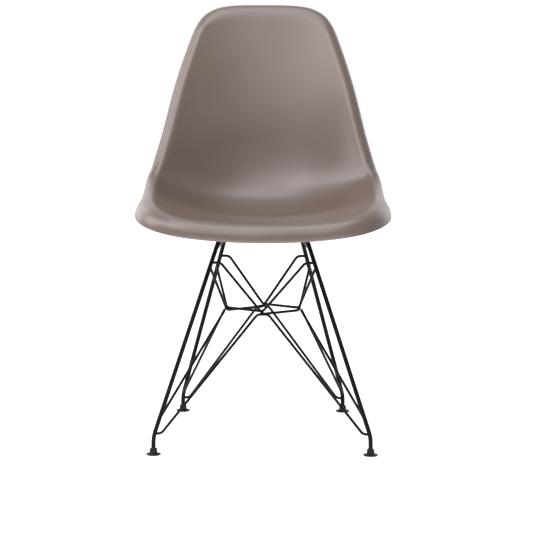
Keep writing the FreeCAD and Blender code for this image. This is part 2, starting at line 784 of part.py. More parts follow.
def lock_at(base):
    lift = down * (size("washer_wall") + size("lock_wall"))
    ring = disc(base + lift, size("lock_diameter"), size("lock_wall"), loose_bore)
    slot = Part.makeBox(size("lock_diameter"), size("lock_slot"), size("lock_wall"),
                        base + lift + FreeCAD.Vector(0, -size("lock_slot") / 2, 0))
    return ring.cut(slot)


def bolt_at(base):
    stack = size("washer_wall") + size("lock_wall")
    under = base + down * stack
    across = size("bolt_head_across")
    corners = [under + FreeCAD.Vector(math.cos(math.radians(60 * step)),
                                      math.sin(math.radians(60 * step)), 0)
               * (across / math.sqrt(3)) for step in range(7)]
    head = Part.Face(Part.makePolygon(corners)).extrude(down * size("bolt_head_depth"))
    rise = stack + pad_lift + size("insert_depth")
    return head.fuse(disc(under, size("bolt_diameter"), rise)).removeSplitter()


feature("threaded_inserts", spread(insert_at), group=True)
feature("flat_washers", spread(washer_at), group=True)
feature("spring_washers", spread(lock_at), group=True)
feature("mounting_bolts", spread(bolt_at), group=True)


def mounting_tab(label, row, side, way):
    """A stamped tab with round ends, from the leg's top to the bolt."""
    body = document.addObject("PartDesign::Body", label)
    run = "hypot(sizes.{0}_top_x - sizes.{0}_mount_x; sizes.{0}_top_y - sizes.{0}_mount_y)"
    run = run.format(row)
    reach = math.hypot(size(row + "_top_x") - size(row + "_mount_x"),
                       size(row + "_top_y") - size(row + "_mount_y"))
    radius = size("tab_width") / 2
    sketch = sketch_on(body, label + "_outline", "XY_Plane")
    up = FreeCAD.Vector(0, 0, 1)
    sketch.addGeometry([
        Part.ArcOfCircle(Part.Circle(FreeCAD.Vector(0, 0, 0), up, radius),
                         math.pi / 2, math.pi * 3 / 2),
        Part.LineSegment(FreeCAD.Vector(0, -radius, 0), FreeCAD.Vector(reach, -radius, 0)),
        Part.ArcOfCircle(Part.Circle(FreeCAD.Vector(reach, 0, 0), up, radius),
                         -math.pi / 2, math.pi / 2),
        Part.LineSegment(FreeCAD.Vector(reach, radius, 0), FreeCAD.Vector(0, radius, 0)),
        Part.Circle(FreeCAD.Vector(0, 0, 0), up, loose_bore / 2),
    ], False)
    bolt_end, lower, leg_end, higher, bore = range(5)
    sketch.addConstraint([
        Sketcher.Constraint("Coincident", bolt_end, 3, -1, 1),
        Sketcher.Constraint("Tangent", bolt_end, 2, lower, 1),
        Sketcher.Constraint("Tangent", lower, 2, leg_end, 1),
        Sketcher.Constraint("Tangent", leg_end, 2, higher, 1),
        Sketcher.Constraint("Tangent", higher, 2, bolt_end, 1),
        Sketcher.Constraint("Horizontal", lower),
        Sketcher.Constraint("Coincident", bore, 3, -1, 1),
        Sketcher.Constraint("Radius", bolt_end, radius),
        Sketcher.Constraint("DistanceX", -1, 1, leg_end, 3, reach),
        Sketcher.Constraint("Diameter", bore, loose_bore),
    ])
    for place, name in ((7, "end"), (8, "reach"), (9, "bore")):
        sketch.renameConstraint(place, name)
    bind(sketch, {"Constraints.end": "sizes.tab_width / 2",
                  "Constraints.reach": run,
                  "Constraints.bore": "sizes.bolt_diameter + 2 * sizes.bolt_play"})
    plate = body.newObject("PartDesign::Pad", label + "_plate")
    plate.Profile = sketch
    bind(plate, {"Length": "sizes.tab_wall"})
    turn = math.degrees(math.atan2(way * (size(row + "_top_y") - size(row + "_mount_y")),
                                   side * (size(row + "_top_x") - size(row + "_mount_x"))))
    body.Placement = FreeCAD.Placement(mount_point(row, side, way),
                                       FreeCAD.Rotation(FreeCAD.Vector(0, 0, 1), turn))
    document.recompute()
    return keep(body, label)


def rubber_pad(label, row, side, way):
    """A round pad with a bore, between the tab and the boss."""
    outer = document.addObject("Part::Cylinder", label + "_outer")
    bore = document.addObject("Part::Cylinder", label + "_bore")
    bind(outer, {"Radius": "sizes.pad_diameter / 2", "Height": "sizes.pad_wall"})
    bind(bore, {"Radius": "sizes.bolt_diameter / 2 + sizes.bolt_play",
                "Height": "sizes.pad_wall"})
    pad = document.addObject("Part::Cut", label)
    pad.Base = outer
    pad.Tool = bore
    base = mount_point(row, side, way) + FreeCAD.Vector(0, 0, size("tab_wall"))
    pad.Placement = FreeCAD.Placement(base, FreeCAD.Rotation())
    document.recompute()
    return keep(pad, label)


for row, side, way in MOUNTS:
    mounting_tab("mounting_tab_%s_%s" % (row, SIDES[side]), row, side, way)
    rubber_pad("rubber_pad_%s_%s" % (row, SIDES[side]), row, side, way)

# The glides
# A turned section: flat foot, cove, hub with a domed top, and a socket that
# holds the ball because its mouth is narrower than the ball.


def glide(label, row, side, way):
    body = document.addObject("PartDesign::Body", label)
    section = sketch_on(body, label + "_section", "XZ_Plane")
    foot = size("glide_diameter") / 2
    hub = size("hub_diameter") / 2
    dome = size("dome_radius")
    ball = size("ball_height")
    socket = size("ball_radius") + size("ball_play")
    mouth = size("hub_mouth")
    throat = size("socket_mouth")
    rim = size("glide_rim")
    cove = size("hub_fillet")
    shoulder = ball + math.sqrt(dome ** 2 - hub ** 2)
    mouth_top = ball + math.sqrt(dome ** 2 - mouth ** 2)
    throat_top = ball + math.sqrt(socket ** 2 - throat ** 2)
    cove_foot = rim + size("glide_slope")
    edge = size("glide_bevel")

    def point(x, z):
        return FreeCAD.Vector(x, z, 0)

    def arc(centre_x, centre_z, radius, start, end):
        circle = Part.Circle(point(centre_x, centre_z), FreeCAD.Vector(0, 0, 1), radius)
        return Part.ArcOfCircle(circle, start, end)

    section.addGeometry([
        Part.LineSegment(point(0, 0), point(foot - edge, 0)),
        Part.LineSegment(point(foot - edge, 0), point(foot, edge)),
        Part.LineSegment(point(foot, edge), point(foot, rim)),
        Part.LineSegment(point(foot, rim), point(hub + cove, cove_foot)),
        arc(hub + cove, cove_foot + cove, cove, math.pi, math.pi * 3 / 2),
        Part.LineSegment(point(hub, cove_foot + cove), point(hub, shoulder)),
        arc(0, ball, dome, math.asin((shoulder - ball) / dome),
            math.asin((mouth_top - ball) / dome)),
        Part.LineSegment(point(mouth, mouth_top), point(throat, throat_top)),
        arc(0, ball, socket, -math.pi / 2, math.asin((throat_top - ball) / socket)),
        Part.LineSegment(point(0, ball - socket), point(0, 0)),
    ], False)
    sole, heel, side_wall, slope, fillet, hub_wall, top, cone, cup, axis = range(10)
    joined = [(sole, 2, heel, 1), (heel, 2, side_wall, 1), (side_wall, 2, slope, 1),
              (slope, 2, fillet, 2), (fillet, 1, hub_wall, 1), (hub_wall, 2, top, 1),
              (top, 2, cone, 1), (cone, 2, cup, 2), (cup, 1, axis, 1), (axis, 2, sole, 1)]
    for first, first_end, second, second_end in joined:
        section.addConstraint(Sketcher.Constraint("Coincident", first, first_end,
                                                  second, second_end))
    section.addConstraint([
        Sketcher.Constraint("Coincident", sole, 1, -1, 1),
        Sketcher.Constraint("Horizontal", sole),
        Sketcher.Constraint("Vertical", side_wall),
        Sketcher.Constraint("Vertical", hub_wall),
        Sketcher.Constraint("Vertical", axis),
        Sketcher.Constraint("PointOnObject", top, 3, -2),
        Sketcher.Constraint("PointOnObject", cup, 3, -2),
        Sketcher.Constraint("Vertical", fillet, 3, slope, 2),
        Sketcher.Constraint("Horizontal", fillet, 3, hub_wall, 1),
    ])
    driven = [
        ("foot", "DistanceX", (-1, 1, side_wall, 1), foot, "glide_diameter / 2"),
        ("bevel", "DistanceX", (sole, 2, heel, 2), edge, "glide_bevel"),
        ("lift", "DistanceY", (-1, 1, heel, 2), edge, "glide_bevel"),
        ("rim", "DistanceY", (-1, 1, side_wall, 2), rim, "glide_rim"),
        ("slope", "DistanceY", (-1, 1, slope, 2), cove_foot, "glide_rim + sizes.glide_slope"),
        ("cove", "Radius", (fillet,), cove, "hub_fillet"),
        ("hub", "DistanceX", (-1, 1, hub_wall, 1), hub, "hub_diameter / 2"),
        ("dome", "Radius", (top,), dome, "dome_radius"),
        ("dome_height", "DistanceY", (-1, 1, top, 3), ball, "ball_height"),
        ("mouth", "DistanceX", (-1, 1, cone, 1), mouth, "hub_mouth"),
        ("throat", "DistanceX", (-1, 1, cone, 2), throat, "socket_mouth"),
        ("socket", "Radius", (cup,), socket, "ball_radius + sizes.ball_play"),
        ("ball_height", "DistanceY", (-1, 1, cup, 3), ball, "ball_height"),
    ]
    for name, kind, where, value, alias in driven:
        place = section.addConstraint(Sketcher.Constraint(kind, *where, value))
        section.renameConstraint(place, name)
        section.setExpression("Constraints." + name, "sizes." + alias)
    turned = body.newObject("PartDesign::Revolution", label + "_turned")
    turned.Profile = section
    turned.ReferenceAxis = (section, ["V_Axis"])
    turned.Angle = 360
    body.Placement = FreeCAD.Placement(
        FreeCAD.Vector(side * size(row + "_foot_x"), way * size(row + "_foot_y") + tower_y, 0),
        FreeCAD.Rotation())
    document.recompute()
    return keep(body, label)


for label, (row, side, way) in LEGS.items():
    glide(label.replace("leg_", "glide_"), row, side, way)

# Checks, then one file for each sub-part
document.recompute()
for item in document.Objects:
    states = list(item.State)
    if "Invalid" in states or "Error" in states:
        raise ValueError("%s is %s" % (item.Label, states))
os.makedirs("parts", exist_ok=True)
for item, group in nodes:
    shape = item.Shape
    if shape.isNull() or not shape.isValid():
        raise ValueError("%s has no valid shape" % item.Label)
    if not group and len(shape.Solids) != 1:
        raise ValueError("%s has %d solids" % (item.Label, len(shape.Solids)))
    shape.exportStep("parts/%s.step" % item.Label)
    print("%-26s %2d solid(s) %10.1f mm3" % (item.Label, len(shape.Solids), shape.Volume))
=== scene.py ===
# %% [markdown]
# # A moulded shell chair
#
# The chair is a one-piece plastic shell on a welded tower of black rod and wire.
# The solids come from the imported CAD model, and stay where they are: this file
# gives them their finish, and models again what the CAD keeps plain. Lengths are
# metres. X runs across the chair, the sitter faces -Y, and Z is up.

# %% Load the frame
import math

import bmesh
import bpy
import numpy as np
from mathutils import Matrix, Vector
from mathutils.bvhtree import BVHTree


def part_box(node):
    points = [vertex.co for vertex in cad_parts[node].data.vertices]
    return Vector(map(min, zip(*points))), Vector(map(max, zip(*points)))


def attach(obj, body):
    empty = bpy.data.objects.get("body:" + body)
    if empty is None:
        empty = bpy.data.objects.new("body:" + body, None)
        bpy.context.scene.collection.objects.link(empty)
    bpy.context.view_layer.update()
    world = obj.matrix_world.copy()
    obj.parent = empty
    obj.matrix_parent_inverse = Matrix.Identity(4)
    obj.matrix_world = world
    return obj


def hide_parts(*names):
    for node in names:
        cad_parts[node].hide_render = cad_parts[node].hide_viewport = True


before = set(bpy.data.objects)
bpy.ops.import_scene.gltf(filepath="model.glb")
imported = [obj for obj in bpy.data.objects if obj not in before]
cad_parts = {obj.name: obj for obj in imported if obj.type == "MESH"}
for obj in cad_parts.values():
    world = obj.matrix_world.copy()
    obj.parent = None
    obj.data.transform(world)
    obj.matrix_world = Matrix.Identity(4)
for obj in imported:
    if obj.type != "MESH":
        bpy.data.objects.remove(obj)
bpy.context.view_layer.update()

CHAIR = "chair"
MM = 0.001

# %% [markdown]
# ## The camera
#
# A chair in a catalogue is taken from far away with a long lens, so that its legs
# stay nearly parallel. The camera stands 4.5 m in front and a metre up, and looks
# down a little, which shows the seat as well as the back. Its place was solved from
# the ends of the legs and the height of the seat's edge in the photograph.

# %% Camera
scene = bpy.context.scene
PICTURE_SIDE = 541
FOCAL_PIXELS = 2393.2
SENSOR_WIDTH = 36.0
CAMERA_PLACE = Vector((0.0140, -4.5072, 0.9656))
# These two are turns, in radians.
LOOK_DOWN = 0.1453
ROLL = 0.0044

camera_data = bpy.data.cameras.new("camera")
camera_data.sensor_width = SENSOR_WIDTH
camera_data.lens = FOCAL_PIXELS / PICTURE_SIDE * SENSOR_WIDTH
camera = bpy.data.objects.new("camera", camera_data)
camera.matrix_world = (Matrix.Translation(CAMERA_PLACE)
                       @ Matrix.Rotation(math.pi / 2 - LOOK_DOWN, 4, "X")
                       @ Matrix.Rotation(ROLL, 4, "Z"))
scene.collection.objects.link(camera)
scene.camera = camera
scene.view_settings.view_transform = "Standard"
print("lens", round(camera_data.lens, 1), "mm")

# %% [markdown]
# ## Material helpers
#
# Every finish is built from the same few nodes, so a few helpers keep the recipes
# short. One makes an empty material, one adds a node with its settings, and one
# adds a noise that is read at the piece's own coordinates, so that the pattern
# stays on the piece when it moves.

# %% Material helpers
FINE_DETAIL = 3.0


def new_finish(name):
    """An empty material with its shader, and the node tree it lives in."""
    material = bpy.data.materials.new(name)
    material.use_nodes = True
    tree = material.node_tree
    shader = tree.nodes["Principled BSDF"]
    return material, tree, shader


def add_node(tree, kind, **settings):
    """A node of one kind; a setting is a socket's name or a property."""
    node = tree.nodes.new(kind)
    for name, value in settings.items():
        if name in node.inputs:
            node.inputs[name].default_value = value
        else:
            setattr(node, name, value)
    return node


def grain(tree, per_metre, detail=2.0):
    """A noise at the piece's own coordinates; its factor runs from 0 to 1."""
    place = add_node(tree, "ShaderNodeTexCoord")
    noise = add_node(tree, "ShaderNodeTexNoise", Scale=per_metre, Detail=detail)
    tree.links.new(place.outputs["Object"], noise.inputs["Vector"])
    return noise


# %% [markdown]
# ## What a noise can do
#
# A noise mostly stays between 0.3 and 0.7. Spread over a useful range, it can let the
# colour wander, make the sheen uneven, or stand up as a relief. All three are used
# here, because a surface with none of them looks like a drawing.

# %% Using a noise
NOISE_LOW, NOISE_HIGH = 0.3, 0.7


def spread_over(tree, noise, low, high):
    """Maps a noise to values from low to high."""
    ramp = add_node(tree, "ShaderNodeMapRange")
    ramp.inputs["From Min"].default_value = NOISE_LOW
    ramp.inputs["From Max"].default_value = NOISE_HIGH
    ramp.inputs["To Min"].default_value = low
    ramp.inputs["To Max"].default_value = high
    tree.links.new(noise.outputs["Fac"], ramp.inputs["Value"])
    return ramp


def tint(tree, noise, shader, dark, light):
    """Lets the base colour wander between two near colours."""
    mix = add_node(tree, "ShaderNodeMix", data_type="RGBA")
    mix.inputs["A"].default_value = (*dark, 1.0)
    mix.inputs["B"].default_value = (*light, 1.0)
    ramp = spread_over(tree, noise, 0.0, 1.0)
    tree.links.new(ramp.outputs["Result"], mix.inputs["Factor"])
    tree.links.new(mix.outputs["Result"], shader.inputs["Base Color"])


def uneven_sheen(tree, noise, shader, smooth, rough):
    """Lets the roughness wander between two values."""
    sheen = spread_over(tree, noise, smooth, rough)
    tree.links.new(sheen.outputs["Result"], shader.inputs["Roughness"])


def relief(tree, noise, shader, depth, under=None):
    """Raises a noise as a fine relief, depth in metres, over another relief."""
    bump = add_node(tree, "ShaderNodeBump", Strength=1.0, Distance=depth)
    tree.links.new(noise.outputs["Fac"], bump.inputs["Height"])
    if under:
        tree.links.new(under.outputs["Normal"], bump.inputs["Normal"])
    tree.links.new(bump.outputs["Normal"], shader.inputs["Normal"])
    return bump


def from_srgb(red, green, blue):
    """A colour as it looks on a screen, 0 to 255, as the shader wants it."""
    shares = [channel / 255 for channel in (red, green, blue)]
    return tuple(share / 12.92 if share <= 0.04045 else ((share + 0.055) / 1.055) ** 2.4
                 for share in shares)


# %% [markdown]
# ## The plastic
#
# The shell is coloured right through and comes out of its mould with a satin skin.
# Up close that skin is a very fine matt grain; from further away the sheen wanders
# a little where the plastic flowed and cooled. The grey-brown is dark in itself,
# because the broad soft reflections of the satin skin make it look lighter and
# greyer. A clear coat would give a second, sharper shine, which such a shell lacks.

# %% Plastic of the shell
PLASTIC_DARK = from_srgb(105, 87, 80)
PLASTIC_LIGHT = from_srgb(110, 92, 85)
PLASTIC_INDEX = 1.5
PLASTIC_GLOSS = 0.75
PLASTIC_SMOOTH, PLASTIC_ROUGH = 0.31, 0.35
CLOUDS_PER_METRE = 7.0
SHEEN_PER_METRE = 14.0
FLOW_PER_METRE, FLOW_DEPTH = 40.0, 0.06 * MM
SKIN_PER_METRE, SKIN_DEPTH = 1500.0, 0.008 * MM

shell_plastic, tree, shader = new_finish("shell_plastic")
shader.inputs["IOR"].default_value = PLASTIC_INDEX
shader.inputs["Specular IOR Level"].default_value = PLASTIC_GLOSS
tint(tree, grain(tree, CLOUDS_PER_METRE), shader, PLASTIC_DARK, PLASTIC_LIGHT)
uneven_sheen(tree, grain(tree, SHEEN_PER_METRE, FINE_DETAIL), shader,
             PLASTIC_SMOOTH, PLASTIC_ROUGH)
flow = relief(tree, grain(tree, FLOW_PER_METRE), shader, FLOW_DEPTH)
relief(tree, grain(tree, SKIN_PER_METRE, FINE_DETAIL), shader, SKIN_DEPTH, under=flow)
print("plastic", [round(channel, 3) for channel in PLASTIC_LIGHT])

# %% [markdown]
# ## The paint of the tower
#
# The rods are powder coated: charged powder is blown on and baked, and it melts
# to a tough black skin with a faint orange-peel. It is not quite black. Its index
# is kept low, because under a white sky a thin rod would otherwise look grey.

# %% Paint of the tower
PAINT_DARK = from_srgb(8, 8, 9)
PAINT_LIGHT = from_srgb(13, 13, 14)
PAINT_INDEX = 1.2
PAINT_SMOOTH, PAINT_ROUGH = 0.34, 0.46
TINT_PER_METRE = 60.0
DULL_PER_METRE = 90.0
PEEL_PER_METRE, PEEL_DEPTH = 700.0, 0.04 * MM
POWDER_PER_METRE, POWDER_DEPTH = 4000.0, 0.01 * MM

tower_paint, tree, shader = new_finish("tower_paint")
shader.inputs["IOR"].default_value = PAINT_INDEX
tint(tree, grain(tree, TINT_PER_METRE), shader, PAINT_DARK, PAINT_LIGHT)
uneven_sheen(tree, grain(tree, DULL_PER_METRE, FINE_DETAIL), shader,
             PAINT_SMOOTH, PAINT_ROUGH)
peel = relief(tree, grain(tree, PEEL_PER_METRE), shader, PEEL_DEPTH)
relief(tree, grain(tree, POWDER_PER_METRE, FINE_DETAIL), shader, POWDER_DEPTH,
       under=peel)
print("paint", [round(channel, 4) for channel in PAINT_LIGHT])

# %% [markdown]
# ## The small finishes
#
# The glides are black nylon, a little greyer and duller than the paint. Rubber is
# duller still. The bolts and washers are zinc plated, and the inserts are brass:
# both are metals, so their colour is in the reflection.

# %% Small finishes
SHEEN_SPREAD = 0.05
TINT_COARSER, SHEEN_COARSER = 10, 4


def small_finish(name, dark, light, roughness, grains, depth, metal=0.0, index=1.5):
    """A finish that wanders between two colours, with an even fine grain."""
    material, tree, shader = new_finish(name)
    tint(tree, grain(tree, grains / TINT_COARSER), shader,
         from_srgb(*dark), from_srgb(*light))
    shader.inputs["Metallic"].default_value = metal
    shader.inputs["IOR"].default_value = index
    uneven_sheen(tree, grain(tree, grains / SHEEN_COARSER, FINE_DETAIL), shader,
                 roughness - SHEEN_SPREAD, roughness + SHEEN_SPREAD)
    relief(tree, grain(tree, grains, FINE_DETAIL), shader, depth)
    return material


glide_nylon = small_finish("glide_nylon", (12, 12, 13), (18, 18, 19), 0.5,
                           1800, 0.03 * MM, index=1.3)
pad_rubber = small_finish("pad_rubber", (26, 26, 26), (36, 36, 35), 0.82,
                          1200, 0.06 * MM)
bolt_zinc = small_finish("bolt_zinc", (176, 178, 176), (206, 207, 203), 0.34,
                         2200, 0.02 * MM, metal=1.0)
insert_brass = small_finish("insert_brass", (186, 150, 84), (206, 172, 104), 0.36,
                            2200, 0.02 * MM, metal=1.0)
print("finishes", [material.name for material in bpy.data.materials])

# %% [markdown]
# ## Smooth lines
#
# The shell is described by a few places that a smooth line goes through: its
# outline laid flat, its side view, and how far its sides rise. A cubic spline
# bends through such places as a thin wooden batten does.


# %% A batten through a few places
def end_slope(at, values):
    """The slope at the first place, from a cubic through the first four."""
    fit = np.polyfit(at[:4] - at[0], values[:4], 3)
    return fit[-2]


def batten(at, values, closed=False):
    """A function that is smooth through the values given at these places."""
    at = np.asarray(at, float)
    values = np.asarray(values, float).reshape(len(at), -1)
    count = len(at)
    steps = np.diff(at)
    rises = np.diff(values, axis=0) / steps[:, None]
    system = np.zeros((count, count))
    wanted = np.zeros_like(values)
    for place in range(1, count - 1):
        before, after = 1 / steps[place - 1], 1 / steps[place]
        system[place, place - 1:place + 2] = before, 2 * (before + after), after
        wanted[place] = 3 * (before * rises[place - 1] + after * rises[place])
    if closed:
        before, after = 1 / steps[-1], 1 / steps[0]
        system[0, [0, 1, -2]] = 2 * (before + after), after, before
        wanted[0] = 3 * (before * rises[-1] + after * rises[0])
        system[-1, [0, -1]] = 1, -1
    else:
        system[0, 0] = system[-1, -1] = 1
        wanted[0] = end_slope(at, values)
        wanted[-1] = end_slope(at[::-1], values[::-1])
    slopes = np.linalg.solve(system, wanted)

    def value(where):
        where = np.atleast_1d(np.asarray(where, float))
        span = np.clip(np.searchsorted(at, where, side="right") - 1, 0, count - 2)
        width = steps[span][:, None]
        share = (where[:, None] - at[span][:, None]) / width
        rest = 1 - share
        return (values[span] * rest ** 2 * (1 + 2 * share)
                + values[span + 1] * share ** 2 * (1 + 2 * rest)
                + width * share * rest * (slopes[span] * rest - slopes[span + 1] * share))

    return value


def chord_lengths(points):
    """How far along each point lies, measured from point to point."""
    return np.concatenate([[0.0], np.cumsum(np.linalg.norm(np.diff(points, axis=0), axis=1))])


# %% [markdown]
# ## The form of the shell
#
# Think of the shell as a flat sheet with a rounded outline. It is bent along the
# line of the side view, from the seat's front edge up to the top of the back. Its
# sides are raised into a bowl that is deepest at the waist. Its rim is rolled over:
# deepest at the front edge, where it carries the thighs, and drawn out at the top of
# the back. The outline was fitted to the photograph. The depths are guesses, because
# there is one view only, from the front.

# %% The lines of the shell
TOWER_MIDDLE = -37.0 * MM
SIDE_VIEW = np.array([
    (-238.0, 424.0), (-159.5, 427.0), (-59.5, 419.0), (39.6, 408.0), (118.7, 411.0),
    (172.0, 438.5), (204.0, 500.3), (229.0, 600.1), (259.0, 700.2), (293.5, 804.0),
]) * MM + [TOWER_MIDDLE, 0.0]
HALF_WIDTH = 232.0 * MM
OUTLINE = np.array([
    (0.0, 0.0), (0.0043, 0.41), (0.0178, 0.749), (0.0615, 0.924), (0.125, 1.002),
    (0.3, 1.0), (0.4745, 0.975), (0.57, 0.933), (0.665, 0.855), (0.76, 0.779),
    (0.91, 0.627), (0.961, 0.544), (0.987, 0.428), (0.997, 0.286), (1.0, 0.0),
])
BOWL_PLACES = (0.0, 0.15, 0.375, 0.53, 0.72, 1.0)
BOWL_RISES = np.array((21.0, 41.5, 74.0, 103.0, 94.5, 43.0)) * MM
BOWL_POWER = 2.4
SIDE_ROLL = 17.0 * MM
FRONT_ROLL = 30.0 * MM
TOP_REACH = 32.0 * MM
WIDE_ROLL_END = 0.12
SIDE_ROLL_START = 0.41
SIDE_ROLL_END = 0.94
TOP_ROLL_START = 1.0
WALL = 5.0 * MM
NUDGE = 0.01 * MM
ROUNDS = 30
FINE_STEPS = 4000

side_line = batten(chord_lengths(SIDE_VIEW), SIDE_VIEW)
bowl_rise = batten(BOWL_PLACES, BOWL_RISES)
fine_steps = np.linspace(0.0, chord_lengths(SIDE_VIEW)[-1], FINE_STEPS)
fine_lengths = chord_lengths(side_line(fine_steps))
SHEET_LENGTH = fine_lengths[-1]
print("the sheet is", round(SHEET_LENGTH * 1000), "mm long")


# %% Bending the sheet
def bowl_height(across, along):
    """How far the bowl rises from the side view's line at places on the sheet."""
    rise = bowl_rise(np.clip(along / SHEET_LENGTH, 0.0, 1.0))[:, 0]
    return rise * (np.abs(across) / HALF_WIDTH) ** BOWL_POWER


def bent(across, along, height):
    """Places on the sitter's side, at a height over the side view's line."""
    inside = np.clip(along, 0.0, SHEET_LENGTH)
    step = np.interp(inside, fine_lengths, fine_steps)
    middle = side_line(step)
    tangent = side_line(step + NUDGE) - side_line(step - NUDGE)
    tangent /= np.linalg.norm(tangent, axis=1)[:, None]
    normal = np.stack([-tangent[:, 1], tangent[:, 0]], axis=1)
    flat = middle + normal * height[:, None] + tangent * (along - inside)[:, None]
    return np.column_stack([across, flat])


# %% The outline of the sheet
half = OUTLINE[:, ::-1] * [HALF_WIDTH, SHEET_LENGTH]
loop = np.vstack([half, half[-2:0:-1] * [-1, 1], half[:1]])
loop_places = chord_lengths(loop)
outline = batten(loop_places, loop, closed=True)
AROUND = loop_places[-1]
print("the outline is", round(AROUND * 1000), "mm round")

# %% [markdown]
# ## The roll of the rim
#
# The side of the bowl climbs, turns over a ridge and comes down to the edge. That
# is one arc: it starts where the bowl is as steep as the arc, so that no crease
# shows, and ends where it points straight down. The start is found step by step,
# because it depends on the bowl's own slope there.

# %% The roll of the rim
def eased(value, start, end):
    """A share that eases from 0 at the start to 1 at the end."""
    share = np.clip((value - start) / (end - start), 0.0, 1.0)
    return share * share * (3 - 2 * share)


class Rim:
    """The arc over the rim at places round the outline."""

    def __init__(self, around):
        self.edge = outline(around % AROUND)
        tangent = outline((around + NUDGE) % AROUND) - outline((around - NUDGE) % AROUND)
        tangent /= np.linalg.norm(tangent, axis=1)[:, None]
        self.inward = np.stack([-tangent[:, 1], tangent[:, 0]], axis=1)
        along = self.edge[:, 1] / SHEET_LENGTH
        beside = eased(along, WIDE_ROLL_END, SIDE_ROLL_START)
        above = eased(along, SIDE_ROLL_END, TOP_ROLL_START)
        self.depth = FRONT_ROLL + (SIDE_ROLL - FRONT_ROLL) * beside
        self.reach = self.depth + (TOP_REACH - SIDE_ROLL) * above
        self.start = np.zeros(len(around))
        for _ in range(ROUNDS):
            place = self.place(-self.start)
            outer = bowl_height(*(place - self.inward * NUDGE).T)
            inner = bowl_height(*(place + self.inward * NUDGE).T)
            slope = (outer - inner) / (2 * NUDGE)
            self.start = np.arctan(slope * self.reach / self.depth)
        self.foot = bowl_height(*self.place(-self.start).T)

    def place(self, turn):
        """Where on the sheet: turn 0 is over the ridge, a quarter turn is the edge."""
        return self.edge + self.inward * (self.reach * (1 - np.sin(turn)))[:, None]

    def row(self, share):
        """Places and heights at a share of the arc, from its start to the edge."""
        turn = -self.start + (math.pi / 2 + self.start) * share
        return self.place(turn), self.foot + self.depth * (np.cos(turn) - np.cos(self.start))


# %% [markdown]
# ## Modelling the shell
#
# A grid is the calmest start for a sheet that has to reflect light softly: it has
# no pole, so no star shows in the sheen. The grid is stretched to fill the sheet
# up to the roll, its outer edge is extruded in small turns to roll the rim, and
# then the whole sheet is bent. Solidify gives the wall, and a subdivision surface
# rounds its edge.

# %% A grid inside the roll
CELLS_ACROSS = 26
CELLS_ALONG = 40
# The grid's corners lie at these places of OUTLINE.
FRONT_CORNER = 3
TOP_CORNER = 11

corners = [loop_places[FRONT_CORNER], loop_places[TOP_CORNER],
           AROUND - loop_places[TOP_CORNER], AROUND - loop_places[FRONT_CORNER]]


def side_places(start, end, cells):
    """Even steps round the outline from one corner to the next."""
    return np.linspace(start, end, cells + 1)


right = side_places(corners[0], corners[1], CELLS_ALONG)
top = side_places(corners[1], corners[2], CELLS_ACROSS)[::-1]
left = side_places(corners[2], corners[3], CELLS_ALONG)[::-1]
front = side_places(corners[3] - AROUND, corners[0], CELLS_ACROSS)

flat_sides = {name: Rim(places).row(0.0)[0]
              for name, places in (("right", right), ("top", top),
                                   ("left", left), ("front", front))}


def inside_place(column, row):
    """A place in the sheet: each pair of sides blended, less their corners."""
    u, v = column / CELLS_ACROSS, row / CELLS_ALONG
    near, far = flat_sides["front"], flat_sides["top"]
    port, starboard = flat_sides["left"], flat_sides["right"]
    across = (1 - v) * near[column] + v * far[column]
    along = (1 - u) * port[row] + u * starboard[row]
    corner = ((1 - u) * ((1 - v) * near[0] + v * far[0])
              + u * ((1 - v) * near[-1] + v * far[-1]))
    return across + along - corner


sheet = bmesh.new()
bmesh.ops.create_grid(sheet, x_segments=CELLS_ACROSS, y_segments=CELLS_ALONG, size=1.0)
around_layer = sheet.verts.layers.float.new("around")
for vertex in sheet.verts:
    column = round((vertex.co.x + 1) / 2 * CELLS_ACROSS)
    row = round((vertex.co.y + 1) / 2 * CELLS_ALONG)
    if row == 0:
        vertex[around_layer] = front[column]
    elif row == CELLS_ALONG:
        vertex[around_layer] = top[column]
    elif column == 0:
        vertex[around_layer] = left[row]
    elif column == CELLS_ACROSS:
        vertex[around_layer] = right[row]
    across, along = inside_place(column, row)
    vertex.co = (across, along, bowl_height(np.array([across]), np.array([along]))[0])
print("grid of", len(sheet.faces), "faces")

# %% Rolling the rim
ROLL_SHARES = (0.09, 0.19, 0.30, 0.42, 0.54, 0.66, 0.78, 0.89, 0.97, 1.0)

rim_edges = [edge for edge in sheet.edges if edge.is_boundary]
for share in ROLL_SHARES:
    made = bmesh.ops.extrude_edge_only(sheet, edges=rim_edges)["geom"]
    rim_edges = [item for item in made
                 if isinstance(item, bmesh.types.BMEdge) and item.is_boundary]
    new = [item for item in made if isinstance(item, bmesh.types.BMVert)]
    places, heights = Rim(np.array([vertex[around_layer] for vertex in new])).row(share)
    for vertex, place, height in zip(new, places, heights):
        vertex.co = (*place, height)
print("rolled in", len(ROLL_SHARES), "turns, now", len(sheet.faces), "faces")

# %% Bending the grid
flat = np.array([vertex.co for vertex in sheet.verts])
for vertex, place in zip(sheet.verts, bent(*flat.T)):
    vertex.co = place
bmesh.ops.recalc_face_normals(sheet, faces=sheet.faces)
most_level = max(sheet.faces, key=lambda face: abs(face.normal.z))
if most_level.normal.z < 0:
    bmesh.ops.reverse_faces(sheet, faces=sheet.faces)
print("top of the back", round(max(vertex.co.z for vertex in sheet.verts) * 1000), "mm")

# %% [markdown]
# ## From a mesh to a piece
#
# The shell and its bosses are one moulding, so they share their finish and both ride
# on the chair's own body. The wall is added on the side away from the sitter, which
# keeps the seat's surface where the lines above put it.


